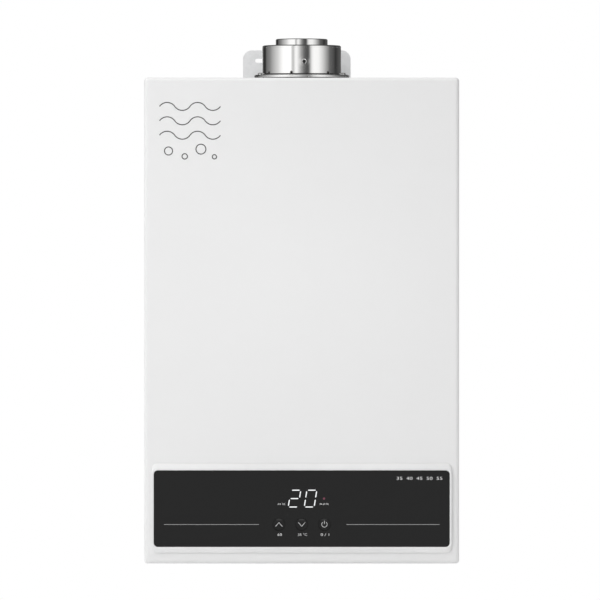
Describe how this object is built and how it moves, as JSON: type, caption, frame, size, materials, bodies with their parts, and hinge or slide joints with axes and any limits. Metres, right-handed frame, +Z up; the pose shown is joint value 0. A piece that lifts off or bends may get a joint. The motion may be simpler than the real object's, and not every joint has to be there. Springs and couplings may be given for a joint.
{
  "type": "gas water heater",
  "caption": "Wall-hung gas water heater: flat white steel casing, black display panel low on the front, stainless coaxial flue stub on top, pipe connections recessed below.",
  "frame": {"origin": "centre of the hanging keyhole in the wall tab, on the wall plane", "axes": "+X to the right seen from the front, +Y into the wall, +Z up; the front faces -Y"},
  "size_m": [0.35, 0.1706, 0.585],
  "materials": {
    "cover_paint": "smooth white powder coat, satin gloss",
    "galvanised_steel": "galvanised sheet, faint spangle",
    "foam_seal": "closed-cell foam, matt",
    "screw_steel": "zinc-plated",
    "white_plastic": "white moulding, satin gloss",
    "panel_glass": "black-backed glass, polished",
    "button_plastic": "black, glossy, domed",
    "dark_plastic": "moulded, fine grain",
    "circuit_board": "green solder mask",
    "led_plastic": "grey module face, clear lamp",
    "switch_plastic": "black with a steel cover",
    "stainless": "drawn stainless, bright and lightly spun",
    "stainless_matt": "stainless sheet, mill finish",
    "aluminium": "mill finish",
    "cast_aluminium": "die-cast, fine grain",
    "shaft_steel": "ground",
    "spring_steel": "bright wire",
    "motor_paint": "black lacquer",
    "copper": "copper sheet and tube, dulled",
    "brass": "turned, dulled",
    "ceramic": "glazed white",
    "coil_plastic": "moulded, dark blue",
    "white_nylon": "moulded nylon",
    "black_nylon": "moulded nylon",
    "silicone": "red-brown silicone",
    "rubber": "moulded",
    "lead_jacket": "silicone jacket"
  },
  "bodies": {
    "chassis": {"air_pressure_switch": "black_nylon", "back_plate": "galvanised_steel", "bottom_plate": "galvanised_steel", "burner_bars": "stainless_matt", "burner_frame": "stainless_matt", "chassis_brackets": "galvanised_steel", "cold_inlet_stub": "brass", "cold_pipe": "copper", "controller_box": "white_nylon", "cover_seal": "foam_seal", "drain_valve_body": "brass", "electrode_insulators": "ceramic", "electrode_rods": "shaft_steel", "exchanger_fins": "copper", "exchanger_shell": "copper", "exchanger_tube": "copper", "fan_housing": "galvanised_steel", "fan_motor": "motor_paint", "flow_sensor_body": "black_nylon", "flue_collar": "stainless", "flue_flange": "stainless", "flue_gasket": "foam_seal", "flue_inner_pipe": "stainless", "flue_screws": "screw_steel", "fume_hood": "stainless_matt", "gas_inlet_stub": "brass", "gas_manifold": "aluminium", "gas_nozzles": "brass", "gas_riser": "aluminium", "gas_valve_body": "cast_aluminium", "hot_outlet_stub": "brass", "hot_pipe": "copper", "igniter_box": "black_nylon", "inlet_filter": "white_nylon", "modulating_spring": "spring_steel", "power_gland": "rubber", "pressure_hose": "silicone", "shutoff_spring": "spring_steel", "stub_nuts": "brass", "temperature_sensors": "spring_steel", "top_plate": "galvanised_steel", "valve_coils": "coil_plastic", "wiring_harness": "lead_jacket"},
    "front_cover": {"front_cover": "cover_paint", "cover_screws": "screw_steel", "panel_bezel": "white_plastic", "panel_glass": "panel_glass", "display_housing": "dark_plastic", "display_board": "circuit_board", "display_leds": "led_plastic", "tact_switches": "switch_plastic"},
    "button_up": {"button_up": "button_plastic"},
    "button_down": {"button_down": "button_plastic"},
    "button_power": {"button_power": "button_plastic"},
    "fan_rotor": {"fan_impeller": "aluminium", "fan_shaft": "shaft_steel"},
    "flow_turbine": {"flow_turbine": "white_nylon"},
    "shutoff_plunger": {"shutoff_plunger": "shaft_steel"},
    "modulating_plunger": {"modulating_plunger": "shaft_steel"},
    "drain_knob": {"drain_knob": "black_nylon"}
  },
  "joints": [
    {"name": "cover_slide", "type": "slide", "parent": "chassis", "child": "front_cover", "axis": [0, -1, 0], "range_m": [0, 0.3]},
    {"name": "button_up_press", "type": "slide", "parent": "front_cover", "child": "button_up", "axis": [0, 1, 0], "range_m": [0, 0.0005], "stiffness_N_per_m": 800, "springref_m": -0.0015},
    {"name": "button_down_press", "type": "slide", "parent": "front_cover", "child": "button_down", "axis": [0, 1, 0], "range_m": [0, 0.0005], "stiffness_N_per_m": 800, "springref_m": -0.0015},
    {"name": "button_power_press", "type": "slide", "parent": "front_cover", "child": "button_power", "axis": [0, 1, 0], "range_m": [0, 0.0005], "stiffness_N_per_m": 800, "springref_m": -0.0015},
    {"name": "fan_spin", "type": "hinge", "parent": "chassis", "child": "fan_rotor", "pos_m": [-0.03, -0.09, -0.1287], "axis": [0, -1, 0], "continuous": true},
    {"name": "turbine_spin", "type": "hinge", "parent": "chassis", "child": "flow_turbine", "pos_m": [0.08, -0.07, -0.496], "axis": [0, 0, 1], "continuous": true},
    {"name": "shutoff_stroke", "type": "slide", "parent": "chassis", "child": "shutoff_plunger", "axis": [0, -1, 0], "range_m": [0, 0.0025], "stiffness_N_per_m": 400, "springref_m": -0.003, "deforming": ["shutoff_spring"]},
    {"name": "modulating_stroke", "type": "slide", "parent": "chassis", "child": "modulating_plunger", "axis": [0, -1, 0], "range_m": [0, 0.0025], "stiffness_N_per_m": 400, "springref_m": -0.003, "deforming": ["modulating_spring"]},
    {"name": "drain_turn", "type": "hinge", "parent": "chassis", "child": "drain_knob", "pos_m": [0.116, -0.07, -0.5372], "axis": [0, 0, 1], "range_deg": [0, 90]}
  ]
}
